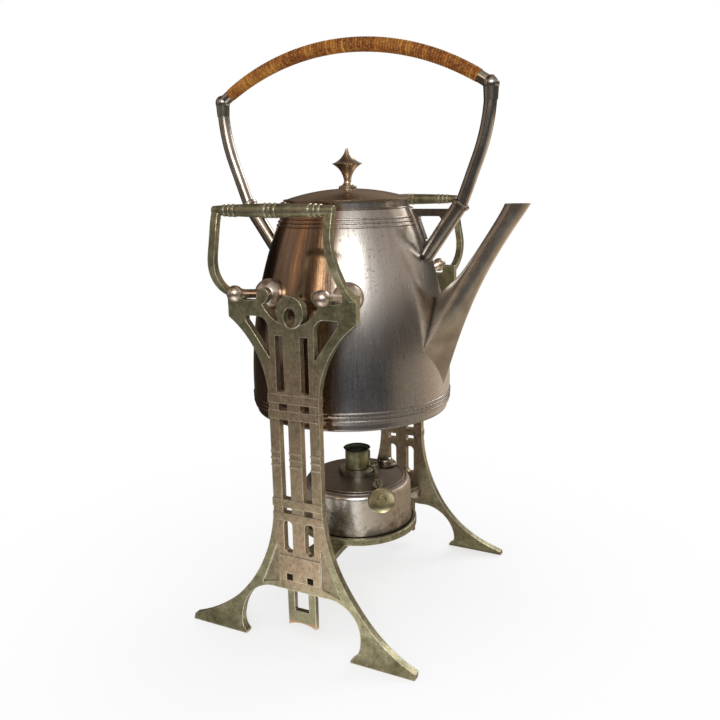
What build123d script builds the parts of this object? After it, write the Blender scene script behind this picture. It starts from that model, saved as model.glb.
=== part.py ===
"""Spirit kettle on its stand: two cast side frames carry a tilting kettle over a spirit lamp.

Millimetres.  X runs along the spout, Y from frame to frame, Z up.  The origin is on the table
under the middle of the stand.
"""
import math
import os

from build123d import *

os.makedirs("parts", exist_ok=True)

# ---------------------------------------------------------------- stand, driving sizes
frame_face = 81.0            # outer face of a frame's upright panel from the middle of the stand
frame_thickness = 4.6
frame_inner = frame_face - frame_thickness
foot_flare = 7.8             # how far the soles stand outside the panel
flare_height = 40.0          # height at which the legs start to flare
toe_reach = 80.5             # tip of a foot from the middle of the frame
heel_reach = 38.0
toe_height = 3.2
panel_half = 17.3            # half the width of the three-bar panel
centre_bar_half = 4.4
slot_outer = 10.6
band_relief = 0.7            # how far the cross bands stand proud
notch_floor = 218.7          # the open notches that carry the kettle's pins
ear_half = 43.3              # outer edge of the ears
ear_low = notch_floor - 10.7
ear_top = notch_floor + 5.8
notch_near = 22.6            # inner wall of an open notch, from the middle of the frame
notch_far = 34.4
notch_corner = 2.4
horn_radius = 4.1
horn_rise = 3.3              # centre of a horn's round end over the notch floor
horn_height = notch_floor + horn_rise
whip_low = notch_floor - 14.0  # the curved edge below the horns, at the middle
whip_radius = 21.0
whip_end = notch_near - 3.7
ring_half = 9.2              # the egg-shaped ring round the eye
ring_low = notch_floor - 15.5
ring_high = notch_floor + 3.7
eye_half = 4.1
eye_low = ring_low + 0.7
eye_high = ring_high - 7.1
tongue_half = 10.0
tongue_low = 9.6
tongue_bow = 2.4
window_half = 5.1
tongue_set_back = 0.4
window_low = 20.4
arch_top = 34.3
arm_width = 4.4              # the arms that carry the top rail
arm_depth = 3.7
rail_offset = 95.5
rail_rise = 46.9
rail_height = ear_top + rail_rise
arm_bow = rail_offset + 4.0  # the furthest that an arm bows out, from the middle of the stand
arm_bow_height = ear_top + 0.56 * rail_rise
arm_lean_low = ear_top + 0.23 * rail_rise  # an arm leans in between these heights
arm_lean_high = ear_top + 0.64 * rail_rise
arm_lean_turn = 60.0
arm_root = frame_face - 2.0
arm_root_height = ear_top - 2.5
arm_reach = ear_half - 6.7   # middle of an upright arm, from the middle of the frame
rail_end_radius = 2.5
rail_mid_radius = 3.8
rail_ring_pitch = 27.4       # three groups of three turned rings
rail_ring_step = 3.2
rail_ring_width = 1.3
rail_ring_rise = 0.4

# ---------------------------------------------------------------- lamp tray
tray_floor = 52.6            # top face of the tray's floor
tray_thickness = 2.8
tray_clearance = 1.2         # free ring round the lamp inside the rim
tray_rim_width = 2.2
tray_rim = 1.6               # height of the rim over the floor
strap_width = 20.0
strap_thickness = 3.0
screw_radius = 1.6
screw_head_radius = 3.2
screw_head_height = 1.5
screw_x = 12.3
screw_grip = 3.0             # length of a screw inside the frame
rivet_radius = 2.0
rivet_head_radius = 3.6
rivet_head_height = 1.2
rivet_spread = 24.0

# ---------------------------------------------------------------- kettle, driving sizes
kettle_x = -2.6              # the kettle hangs a little behind the middle of the stand
body_low = 141.0             # lower edge of the drawn body
body_low_radius = 66.3
body_mid_height = 204.0
body_mid_radius = 62.4
body_top = 268.6
shoulder_rise = 1.2          # the shoulder rises by this to the foot of the neck
body_top_radius = 42.2
body_wall = 1.3
base_low = 136.4             # underside of the kettle
base_inset = 1.5             # rounding of the bottom's edge
base_lap = 4.0               # how far the bottom's wall stands up inside the body
base_fit = 0.1
neck_radius = 39.6
neck_top = 273.8
bead_rise = 0.6
base_beads = (143.6, 146.1, 148.6)
neck_beads = (258.7, 261.1, 263.5)

# ---------------------------------------------------------------- lid
lid_radius = 42.0
lid_rim_thickness = 1.1
lid_rise = 6.4
lid_wall = 1.1
collar_clearance = 0.5
collar_depth = 6.0
finial_radius = 10.0
finial_foot = 5.8
finial_stem = 2.4
finial_waist_height = 5.2
finial_wide_height = 15.6
finial_height = 25.0
hinge_reach = 45.4           # hinge axis behind the kettle's axis
hinge_height = 271.0
hinge_radius = 2.2
hinge_pin_radius = 0.9
hinge_fit = 0.05             # running fit of the pin, on the radius
hinge_knuckle = 5.0
hinge_gap = 0.3
leaf_thickness = 1.0
lid_lip = 1.5                # flat rim outside the dome
finial_tip = 0.8
finial_foot_rise = 1.4
finial_neck = 1.8
finial_hollow = 0.42         # how far the point and the underside are drawn in

# ---------------------------------------------------------------- spout (in the kettle's XZ plane)
spout_mouth = 271.2
spout_wall = 1.0

# ---------------------------------------------------------------- handle (from the kettle's axis)
socket_foot = (55.2, 239.6)
socket_top = (76.4, 269.6)
socket_radius = 4.8
socket_taper = 20
ferrule_radius = 5.7
ferrule_length = 3.2
upright_radius = 3.9
upright_bend = (88.2, 299.0)  # straight up to here, then an arc to the knuckle
knuckle_reach = 95.2
knuckle_height = 339.6
knuckle_radius = 4.9
knuckle_collar_drop = 9.0
knuckle_collar_lip = 0.25
grip_apex = 368.6            # middle of the grip's section at the top of the arch
grip_radius = 4.5
grip_core_radius = 3.7
wrap_start = 0.037           # share of the grip's length left bare at each end
bracket_top = body_top - 0.4
bracket_low = 235.6
bracket_rail = 4.4           # depth of the bracket's top rail
bracket_web = 4.4            # thickness of the open web
bracket_bar = 7.4            # width of the bar that lies on the body
bar_low = 235.0
bar_depth = 2.4
window_inner = 49.6
window_outer = 64.4
window_knee = (66.0, 261.2)
window_foot = (56.2, 246.6)
window_corner = 1.6

# ---------------------------------------------------------------- trunnions
pin_spacing = 28.6           # from the kettle's axis, along X, where a pin crosses its frame
boss_spacing = 27.4          # the same in the middle of a boss
pin_radius = 2.7
pin_rise = 3.3               # middle of a pin over the notch's floor, where it crosses the frame
pin_height = notch_floor + pin_rise
pin_slope = 7.5              # the pins rise outwards by this angle
ball_radius = 4.9
ball_reach = 89.4            # ball centre from the middle of the stand
boss_radius = 9.4
boss_stand = 3.4             # the boss's sphere is centred this far outside the body
boss_bore_depth = 2.6

# ---------------------------------------------------------------- spirit lamp
reservoir_radius = 38.0
reservoir_top_radius = 37.2
shoulder_height = 79.4
bead_height = 84.0
top_radius = 31.5
top_height = 86.2
tin_wall = 0.9
top_edge = 84.4
shoulder_run = 2.4
shoulder_lift = 3.4
ridge_radius = 0.8           # two rolled ridges on the shoulder
ridge_spots = ((reservoir_radius - 3.8, top_edge - 1.4), (reservoir_radius - 5.8, top_edge - 0.4))
burner_hole = 11.8
burner_drop = 9.0
burner_wall = 1.0
neck_wall = 0.9
neck_height = 88.6
neck_low = 82.5
collar_radius = 13.0
collar_low = top_height
collar_high = 90.2
wick_tube_radius = 6.2
wick_tube_wall = 0.6
wick_radius = 5.4
wick_low = 56.0
wick_top = 101.6
wick_show = 2.0              # wick standing out of its tube at each end
sleeve_radius = 8.2
sleeve_wall = 0.7
sleeve_rest = 0.4            # rests this far over the collar
sleeve_top = 104.5
sleeve_flare = 9.4
spindle_angle = -60.0        # direction of the regulator spindle, from +X
spindle_height = 89.6
spindle_radius = 1.3
spindle_fit = 0.1
pinion_tooth_count = 8
pinion_pitch_radius = 2.4
pinion_length = 3.4
cheek_gap = 0.4
cheek_thickness = 1.8
cheek_width = 4.8
cheek_top = 2.7
notch_reach = 8.6
post_reach = 27.0            # the outer bearing of the spindle
post_length = 5.0
post_radius = 3.4
post_foot = 84.6
tooth_height = 0.85
tooth_dedendum = 0.5
tooth_foot = 0.95
tooth_crest = 0.42
lift_travel = 8.0            # how far the regulator lifts the sleeve
rack_thickness = 1.5
rack_width = 3.0
knob_distance = 61.0         # knob face from the foot of the spindle
knob_radius = 8.8
knob_thickness = 2.6
knob_hub = 1.6
hub_radius = 2.4
knob_dish = 1.4              # how far the knob's face is dished
knob_edge = 0.7
filler_angle = 64.0
filler_distance = 25.0
filler_neck_radius = 5.2
cap_radius = 8.0
cap_dome_radius = 5.8
cap_height = 5.6
cap_rim = 1.6
cap_fit = 0.35


# ---------------------------------------------------------------- shared geometry
def circle_through(a, b, c):
    """Centre and radius of the circle through three points of a plane."""
    ax, ay = a
    bx, by = b
    cx, cy = c
    d = 2 * (ax * (by - cy) + bx * (cy - ay) + cx * (ay - by))
    aa, bb, cc = ax * ax + ay * ay, bx * bx + by * by, cx * cx + cy * cy
    x = (aa * (by - cy) + bb * (cy - ay) + cc * (ay - by)) / d
    y = (aa * (cx - bx) + bb * (ax - cx) + cc * (bx - ax)) / d
    return (x, y), math.hypot(ax - x, ay - y)


(arc_r, arc_z), arc_radius = circle_through(
    (body_low_radius, body_low), (body_mid_radius, body_mid_height), (body_top_radius, body_top)
)


def body_radius(z, inset=0.0):
    """Radius of the kettle's drawn side at a height."""
    return arc_r + math.sqrt((arc_radius - inset) ** 2 - (z - arc_z) ** 2)


def body_arc(z_low, z_high, inset=0.0):
    """The drawn side's profile between two heights."""
    z_mid = (z_low + z_high) / 2
    ends = [(body_radius(z, inset), z) for z in (z_low, z_mid, z_high)]
    return ThreePointArc(*ends)


kettle_plane = Plane(origin=(kettle_x, 0, 0), x_dir=(1, 0, 0), z_dir=(0, -1, 0))
kettle_axis = Axis((kettle_x, 0, 0), (0, 0, 1))
kettle_mirror = Plane.YZ.offset(kettle_x)

lamp_low = tray_floor
arm_foot = ear_half - arm_width / 2
rail_half = arm_reach + arm_width / 2
whip_centre = whip_low + whip_radius


# ---------------------------------------------------------------- side frame, one pierced casting
slot_width = slot_outer - centre_bar_half
slot_x = (slot_outer + centre_bar_half) / 2
leg_straight = 95.0          # the panel is straight from here up to the ears' sweep
ear_sweep = 158.0
leg_knee = (44.0, 26.0)
leg_shin = (62.3, 11.1)
lower_slot = (60.0, 81.5)
long_slot = (95.8, 147.4)
upper_slot = (164.0, 198.5)
upper_slot_side = (5.8, 11.2)
bands = ((81.5, 86.5), (90.5, 95.8), (147.4, 152.8), (157.3, 162.8))
small_windows = ((86.5, 90.5), (152.8, 157.3))
rib_heights = (117.5, 122.0, 126.2)
rib_width = 1.1
block_half = 15.0
block_low = 41.0
block_high = 58.0
square_window = 4.5
square_window_x = 7.4
square_window_z = 43.6
recess_depth = 1.0
heel_height = 1.4
instep_reach = 43.2
instep_height = 11.0
arch_flat = 17.0
web_height = notch_floor - 9.4  # underside of the web that carries a notch
corner_inner = panel_half - 2.0  # the pierced corner under a notch
corner_outer = notch_far - 3.2
corner_low = web_height - 24.8
corner_side = web_height - 7.8
corner_tip = web_height - 2.9
corner_turn = (corner_inner + 1.9, web_height - 2.3)
corner_flat = corner_inner + 6.2
corner_sweep = (corner_inner + 8.3, web_height - 13.2)
triangle_inner = block_half + 0.6  # the sunk triangle beside the block
triangle_top = block_high + 8.0
triangle_low = block_low - 2.0
triangle_tip = (block_half + 13.4, block_low - 5.6)
instep_turn = (instep_reach - 1.0, 5.8)
cut_depth = 30.0             # long enough to pass the casting anywhere


def frame_half_outline():
    """Right half of the casting's outline: panel, leg, ear and notch."""
    knee = TangentArc((panel_half, leg_straight), leg_knee, tangent=(0, -1))
    shin = TangentArc(leg_knee, leg_shin, tangent=knee % 1)
    TangentArc(leg_shin, (toe_reach, toe_height), tangent=shin % 1)
    Polyline((toe_reach, toe_height), (toe_reach, 0), (heel_reach, 0), (heel_reach, heel_height))
    ThreePointArc((heel_reach, heel_height), instep_turn, (instep_reach, instep_height))
    TangentArc((instep_reach, instep_height), (arch_flat, arch_top), tangent=(0, 1))
    Polyline((arch_flat, arch_top), (0, arch_top), (0, whip_low))
    Line((panel_half, leg_straight), (panel_half, ear_sweep))
    TangentArc((panel_half, ear_sweep), (ear_half, ear_low), tangent=(0, 1))
    Polyline((ear_half, ear_low), (ear_half, ear_top), (notch_far, ear_top))
    FilletPolyline(
        (notch_far, ear_top),
        (notch_far, notch_floor),
        (notch_near, notch_floor),
        (notch_near, horn_height),
        radius=notch_corner,
    )
    horn_x = notch_near - horn_radius
    ThreePointArc(
        (notch_near, horn_height),
        (horn_x, horn_height + horn_radius),
        (horn_x - horn_radius, horn_height),
    )
    neck = whip_centre - math.sqrt(whip_radius**2 - whip_end**2)
    turn = horn_radius * math.sqrt(0.5)
    ThreePointArc(
        (horn_x - horn_radius, horn_height),
        (horn_x - turn, horn_height - turn),
        (whip_end, neck),
    )
    TangentArc((0, whip_low), (whip_end, neck), tangent=(1, 0))


tray_radius = reservoir_radius + tray_clearance + tray_rim_width
tray_low = tray_floor - tray_thickness
bridge_low = tray_low - strap_thickness
screw_margin = 0.3           # flange left free above and below a screw's head
screw_height = bridge_low - screw_head_radius - screw_margin
flange_low = screw_height - screw_head_radius - screw_margin
screw_spots = [(-screw_x, screw_height), (screw_x, screw_height)]
rivet_spots = [(0, -rivet_spread / 2), (0, rivet_spread / 2)]
strap_waist = strap_width / 2
strap_end = 15.6             # half width of a strap where it meets a frame

with BuildPart() as near_arms:
    # two arms bow outwards from the ears up to the rail, and lean in a little on the way
    with BuildSketch(Plane.YZ.offset(-ear_half)):
        with BuildLine():
            TangentArc(
                (-arm_bow, arm_bow_height), (-arm_root, arm_root_height), tangent=(0, -1)
            )
            TangentArc((-arm_bow, arm_bow_height), (-rail_offset, rail_height), tangent=(0, 1))
        trace(line_width=arm_depth)
    extrude(amount=2 * ear_half)
    with BuildSketch(Plane.XZ.offset(frame_inner)):
        with BuildLine():
            FilletPolyline(
                (arm_foot, arm_root_height - arm_depth),
                (arm_foot, arm_lean_low),
                (arm_reach, arm_lean_high),
                (arm_reach, rail_height + rail_end_radius),
                radius=arm_lean_turn,
            )
        trace(line_width=arm_width)
        mirror(about=Plane.YZ)
    extrude(amount=arm_bow + arm_depth - frame_inner, mode=Mode.INTERSECT)

with BuildPart() as near_side_frame:
    with BuildSketch(Plane.XZ.offset(frame_inner - 1)):
        with BuildLine():
            frame_half_outline()
        make_face()
        mirror(about=Plane.YZ)
    extrude(amount=foot_flare + frame_thickness + 2)
    # the plate is upright above and flares outwards through the legs
    flare_arc = (foot_flare**2 + flare_height**2) / (2 * foot_flare)
    flare_centre = -frame_face - flare_arc
    inner_arc = flare_arc + frame_thickness
    inner_foot = flare_centre + math.sqrt(inner_arc**2 - flare_height**2)
    with BuildSketch(Plane.YZ.offset(-toe_reach - 1)):
        with BuildLine():
            Line((-frame_face, ear_top + cut_depth), (-frame_face, flare_height))
            TangentArc((-frame_face, flare_height), (-frame_face - foot_flare, 0), tangent=(0, -1))
            Line((-frame_face - foot_flare, 0), (inner_foot, 0))
            TangentArc((-frame_inner, flare_height), (inner_foot, 0), tangent=(0, -1))
            Line((-frame_inner, flare_height), (-frame_inner, ear_top + cut_depth))
            Line((-frame_inner, ear_top + cut_depth), (-frame_face, ear_top + cut_depth))
        make_face()
    extrude(amount=2 * toe_reach + 2, mode=Mode.INTERSECT)
    # cross bands, thin ribs and the block stand proud of the panel
    with BuildSketch(Plane.XZ.offset(frame_inner)):
        for low, high in bands:
            with Locations((0, (low + high) / 2)):
                Rectangle(2 * panel_half + band_relief, high - low)
        with Locations((0, (block_low + block_high) / 2)):
            Rectangle(2 * block_half, block_high - block_low)
        with Locations((0, (ring_low + ring_high) / 2)):
            Ellipse(ring_half, (ring_high - ring_low) / 2)
    extrude(amount=frame_thickness + band_relief)
    with BuildSketch(Plane.XZ.offset(frame_face - band_relief)):
        for height in rib_heights:
            with Locations((0, height)):
                Rectangle(2 * panel_half, rib_width)
    extrude(amount=2 * band_relief)
    # openings of the panel
    with BuildSketch(Plane.XZ.offset(frame_inner - 1)):
        for side in (-1, 1):
            with Locations((side * slot_x, sum(lower_slot) / 2)):
                SlotOverall(lower_slot[1] - lower_slot[0], slot_width, rotation=90)
            with Locations((side * slot_x, sum(long_slot) / 2)):
                Rectangle(slot_width, long_slot[1] - long_slot[0])
            for low, high in small_windows:
                with Locations((side * slot_x, (low + high) / 2)):
                    Rectangle(slot_width, high - low)
            with Locations((side * sum(upper_slot_side) / 2, sum(upper_slot) / 2)):
                Rectangle(upper_slot_side[1] - upper_slot_side[0], upper_slot[1] - upper_slot[0])
            with Locations((side * square_window_x, square_window_z)):
                Rectangle(square_window, square_window)
        with Locations((0, (eye_low + eye_high) / 2)):
            Ellipse(eye_half, (eye_high - eye_low) / 2)
    extrude(amount=cut_depth, mode=Mode.SUBTRACT)
    # the pierced corners under the notches
    with BuildSketch(Plane.XZ.offset(frame_inner - 1)):
        with BuildLine():
            Line((corner_inner, corner_low), (corner_inner, corner_side))
            ThreePointArc((corner_inner, corner_side), corner_turn, (corner_flat, web_height))
            Line((corner_flat, web_height), (corner_outer, web_height))
            Line((corner_outer, web_height), (corner_outer, corner_tip))
            ThreePointArc((corner_outer, corner_tip), corner_sweep, (corner_inner, corner_low))
        make_face()
        mirror(about=Plane.YZ)
    extrude(amount=cut_depth, mode=Mode.SUBTRACT)
    # sunk triangles beside the block
    with BuildSketch(Plane.XZ.offset(frame_face - recess_depth)):
        with BuildLine():
            Polyline(
                (triangle_inner, triangle_top),
                (triangle_inner, triangle_low),
                triangle_tip,
                close=True,
            )
        make_face()
        mirror(about=Plane.YZ)
    extrude(amount=cut_depth, mode=Mode.SUBTRACT)
    # the tongue hangs straight down between the flaring legs
    with BuildSketch(Plane.XZ.offset(frame_inner + tongue_set_back)):
        with BuildLine():
            Polyline(
                (-tongue_half, tongue_low),
                (-tongue_half, arch_top + frame_thickness),
                (tongue_half, arch_top + frame_thickness),
                (tongue_half, tongue_low),
            )
            ThreePointArc(
                (tongue_half, tongue_low), (0, tongue_low + tongue_bow), (-tongue_half, tongue_low)
            )
        make_face()
        with Locations((0, (window_low + arch_top) / 2)):
            Rectangle(2 * window_half, arch_top - window_low, mode=Mode.SUBTRACT)
    extrude(amount=frame_thickness - 2 * tongue_set_back)
    add(near_arms.part)
    # the turned rail swells towards its middle and has three groups of rings
    with BuildSketch(Plane.XZ.offset(rail_offset)):
        with BuildLine():
            ThreePointArc(
                (-rail_half, rail_height + rail_end_radius),
                (0, rail_height + rail_mid_radius),
                (rail_half, rail_height + rail_end_radius),
            )
            Polyline(
                (rail_half, rail_height + rail_end_radius),
                (rail_half, rail_height),
                (-rail_half, rail_height),
                (-rail_half, rail_height + rail_end_radius),
            )
        make_face()
        swell = rail_mid_radius - rail_end_radius
        for group in (-1, 0, 1):
            for ring in (-1, 0, 1):
                ring_x = group * rail_ring_pitch + ring * rail_ring_step
                ring_foot = rail_height + rail_mid_radius - swell * (ring_x / rail_half) ** 2
                with Locations((ring_x, ring_foot)):
                    Rectangle(rail_ring_width, 2 * rail_ring_rise)
    revolve(axis=Axis((0, -rail_offset, rail_height), (1, 0, 0)))
    # blind holes for the screws of the lamp bridge
    with BuildSketch(Plane.XZ.offset(frame_inner)):
        with Locations(*screw_spots):
            Circle(screw_radius)
    extrude(amount=screw_grip, mode=Mode.SUBTRACT)
near_side_frame.part.label = "near_side_frame"
export_step(near_side_frame.part, "parts/near_side_frame.step")

with BuildPart() as far_side_frame:
    add(near_side_frame.part.rotate(Axis.Z, 180))
far_side_frame.part.label = "far_side_frame"
export_step(far_side_frame.part, "parts/far_side_frame.step")


# ---------------------------------------------------------------- bridge and tray under the lamp
with BuildPart() as lamp_bridge:
    with BuildSketch(Plane.XY.offset(bridge_low)):
        with BuildLine():
            ThreePointArc(
                (strap_end, frame_inner), (strap_waist, tray_radius), (strap_waist, tray_radius / 2)
            )
            Line((strap_waist, tray_radius / 2), (strap_waist, 0))
            Polyline((strap_waist, 0), (0, 0), (0, frame_inner), (strap_end, frame_inner))
        make_face()
        mirror(about=Plane.YZ)
        mirror(about=Plane.XZ)
    extrude(amount=strap_thickness)
    # turned-down ends, screwed to the frames from inside
    with BuildSketch(Plane.XZ.offset(frame_inner - strap_thickness)):
        with Locations((0, (flange_low + bridge_low) / 2)):
            Rectangle(2 * strap_end, bridge_low - flange_low)
    extrude(amount=strap_thickness)
    mirror(about=Plane.XZ)
    with BuildSketch(Plane.XZ.offset(-frame_inner)):
        with Locations(*screw_spots):
            Circle(screw_radius)
    extrude(amount=2 * frame_inner, mode=Mode.SUBTRACT)
    with BuildSketch(Plane.XY.offset(bridge_low)):
        with Locations(*rivet_spots):
            Circle(rivet_radius)
    extrude(amount=strap_thickness, mode=Mode.SUBTRACT)
lamp_bridge.part.label = "lamp_bridge"
export_step(lamp_bridge.part, "parts/lamp_bridge.step")

with BuildPart() as bridge_screws:
    with BuildSketch(Plane.XZ.offset(frame_inner - strap_thickness)):
        with Locations(*screw_spots):
            Circle(screw_radius)
    extrude(amount=strap_thickness + screw_grip)
    with BuildSketch(Plane.XZ.offset(frame_inner - strap_thickness - screw_head_height)):
        with Locations(*screw_spots):
            Circle(screw_head_radius)
    extrude(amount=screw_head_height)
    mirror(about=Plane.XZ)
bridge_screws.part.label = "bridge_screws"
export_step(bridge_screws.part, "parts/bridge_screws.step")

with BuildPart() as lamp_tray:
    with BuildSketch(Plane.XY.offset(tray_low)):
        Circle(tray_radius)
    extrude(amount=tray_thickness + tray_rim)
    chamfer(lamp_tray.faces().sort_by(Axis.Z)[-1].edges(), tray_rim_width / 4)
    with BuildSketch(Plane.XY.offset(tray_floor)):
        Circle(tray_radius - tray_rim_width)
    extrude(amount=tray_rim, mode=Mode.SUBTRACT)
    with BuildSketch(Plane.XY.offset(tray_low)):
        with Locations(*rivet_spots):
            Circle(rivet_radius)
    extrude(amount=tray_thickness, mode=Mode.SUBTRACT)
lamp_tray.part.label = "lamp_tray"
export_step(lamp_tray.part, "parts/lamp_tray.step")

with BuildPart() as tray_rivets:
    with BuildSketch(Plane.XY.offset(bridge_low)):
        with Locations(*rivet_spots):
            Circle(rivet_radius)
    extrude(amount=strap_thickness + tray_thickness)
    with BuildSketch(Plane.XY.offset(bridge_low - rivet_head_height)):
        with Locations(*rivet_spots):
            Circle(rivet_head_radius)
    extrude(amount=rivet_head_height)
tray_rivets.part.label = "tray_rivets"
export_step(tray_rivets.part, "parts/tray_rivets.step")


# ---------------------------------------------------------------- kettle: drawn body and base
neck_inner = neck_radius - body_wall
shoulder_top = body_top + shoulder_rise
base_wall_top = body_low + base_lap
base_radius = body_radius(body_low, body_wall) - base_fit
bead_width = 1.1

with BuildPart() as kettle_form:
    # outer form of the body, also used to trim what is soldered on to it
    with BuildSketch(kettle_plane):
        with BuildLine():
            body_arc(body_low, body_top)
            Polyline(
                (body_radius(body_top), body_top),
                (neck_radius, shoulder_top),
                (neck_radius, neck_top),
                (0, neck_top),
                (0, body_low),
                (body_radius(body_low), body_low),
            )
        make_face()
        # turned beads round the foot and the neck
        for bead in base_beads + neck_beads:
            with Locations((body_radius(bead), bead)):
                Circle(bead_rise)
    revolve(axis=kettle_axis)

with BuildPart() as kettle_hollow:
    with BuildSketch(kettle_plane):
        with BuildLine():
            inner_top = body_top - body_wall
            body_arc(body_low, inner_top, body_wall)
            Polyline(
                (body_radius(inner_top, body_wall), inner_top),
                (neck_inner, shoulder_top - body_wall),
                (neck_inner, neck_top),
                (0, neck_top),
                (0, body_low),
                (body_radius(body_low, body_wall), body_low),
            )
        make_face()
    revolve(axis=kettle_axis)

with BuildPart() as kettle_base:
    with BuildSketch(Plane((kettle_x, 0, base_low))):
        Circle(base_radius)
    extrude(amount=base_wall_top - base_low)
    fillet(kettle_base.edges().sort_by(Axis.Z)[0], base_inset)
    offset(amount=-body_wall, openings=kettle_base.faces().sort_by(Axis.Z)[-1])
kettle_base.part.label = "kettle_base"
export_step(kettle_base.part, "parts/kettle_base.step")


# ---------------------------------------------------------------- spout
def spout_section(top, low, corner_share, half_width, roundness):
    """A lozenge across the spout whose four sides swell into an ellipse as roundness nears 1."""
    span = math.hypot(low[0] - top[0], low[1] - top[1])
    along = ((low[0] - top[0]) / span, 0, (low[1] - top[1]) / span)
    plane = Plane(
        origin=(kettle_x + top[0], 0, top[1]), x_dir=along, z_dir=(-along[2], 0, along[0])
    )
    corner = corner_share * span

    def side(near, far, hub, sign):
        chord = ((near[0] + far[0]) / 2, (near[1] + far[1]) / 2)
        bulge = (
            hub + (near[0] + far[0] - 2 * hub) * math.sqrt(0.5),
            sign * half_width * math.sqrt(0.5),
        )
        middle = tuple(c + roundness * (b - c) for c, b in zip(chord, bulge))
        ThreePointArc(near, middle, far)

    with BuildSketch(plane) as section:
        with BuildLine():
            side((0, 0), (corner, half_width), corner, 1)
            side((corner, half_width), (span, 0), corner, 1)
            side((span, 0), (corner, -half_width), corner, -1)
            side((corner, -half_width), (0, 0), corner, -1)
        make_face()
    return section.sketch


def spout_horn(wall):
    """The spout's form, drawn in by a wall thickness."""
    sections = []
    for top, low, corner_share, half_width, roundness in spout_stations:
        span = math.hypot(low[0] - top[0], low[1] - top[1])
        step = ((low[0] - top[0]) / span * wall, (low[1] - top[1]) / span * wall)
        inner_top = (top[0] + step[0], top[1] + step[1])
        inner_low = (low[0] - step[0], low[1] - step[1])
        sections.append(
            spout_section(inner_top, inner_low, corner_share, half_width - wall, roundness)
        )
    return loft(sections)


spout_stations = (
    ((58.6, 211.6), (64.8, 151.6), 0.5, 22.6, 0.04),
    ((68.6, 219.6), (76.6, 186.5), 0.5, 14.0, 0.3),
    ((77.6, 228.8), (86.8, 213.0), 0.5, 8.9, 0.7),
    ((87.0, 241.5), (97.4, 234.8), 0.5, 6.6, 1.0),
    ((98.5, 259.4), (108.4, 253.0), 0.5, 6.1, 1.0),
    ((104.9, spout_mouth), (120.6, spout_mouth), 0.5, 6.3, 1.0),
)
spout_form = spout_horn(0)
spout_bore = spout_horn(spout_wall)

with BuildPart() as kettle_shell:
    add(kettle_form.part)
    add(kettle_hollow.part, mode=Mode.SUBTRACT)
    add(spout_bore, mode=Mode.SUBTRACT)
kettle_shell.part.label = "kettle_shell"
export_step(kettle_shell.part, "parts/kettle_shell.step")

with BuildPart() as spout:
    add(spout_form)
    add(spout_bore, mode=Mode.SUBTRACT)
    add(kettle_form.part, mode=Mode.SUBTRACT)
spout.part.label = "spout"
export_step(spout.part, "parts/spout.step")


# ---------------------------------------------------------------- trunnion bosses and ball pins
frame_middle = (frame_face + frame_inner) / 2
boss_reach = math.sqrt(body_radius(pin_height) ** 2 - boss_spacing**2) + boss_stand


def pin_line(x_side, y_side):
    """Where a pin crosses its frame, and its direction outwards."""
    lean = math.radians(pin_slope)
    splay = math.atan2(pin_spacing - boss_spacing, frame_middle - boss_reach)
    spot = (kettle_x + x_side * pin_spacing, y_side * frame_middle, pin_height)
    flat = math.cos(lean)
    return spot, (x_side * math.sin(splay) * flat, y_side * math.cos(splay) * flat, math.sin(lean))


def pin_point(x_side, y_side, reach):
    """The point of a pin's axis at a distance from the middle plane of the stand."""
    spot, heading = pin_line(x_side, y_side)
    travel = (y_side * reach - spot[1]) / heading[1]
    return tuple(s + travel * h for s, h in zip(spot, heading))


pin_foot = boss_reach + boss_radius - boss_bore_depth
pin_names = {(1, -1): "front_near", (1, 1): "front_far", (-1, -1): "back_near", (-1, 1): "back_far"}

for (x_side, y_side), name in pin_names.items():
    foot = pin_point(x_side, y_side, pin_foot)
    heading = pin_line(x_side, y_side)[1]
    pin_plane = Plane(origin=foot, z_dir=heading)
    ball = pin_point(x_side, y_side, ball_reach)
    with BuildPart() as ball_pin:
        with BuildSketch(pin_plane):
            Circle(pin_radius)
        extrude(amount=math.dist(foot, ball))
        with Locations(ball):
            Sphere(ball_radius)
    ball_pin.part.label = "pin_" + name
    export_step(ball_pin.part, "parts/pin_" + name + ".step")

    with BuildPart() as pin_boss:
        with Locations(Plane(origin=pin_point(x_side, y_side, boss_reach), z_dir=heading)):
            Sphere(boss_radius)
        add(kettle_form.part, mode=Mode.SUBTRACT)
        add(ball_pin.part, mode=Mode.SUBTRACT)
    pin_boss.part.label = "boss_" + name
    export_step(pin_boss.part, "parts/boss_" + name + ".step")


# ---------------------------------------------------------------- brackets and handle
socket_run = (socket_top[0] - socket_foot[0], socket_top[1] - socket_foot[1])
socket_length = math.hypot(*socket_run)
socket_way = (socket_run[0] / socket_length, 0, socket_run[1] / socket_length)
bracket_inner = body_top_radius - 4.0  # hidden inside the body, cut away with it


def kettle_point(x, z):
    """A point of the kettle's middle plane, from the kettle's axis."""
    return (kettle_x + x, 0, z)


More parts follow.
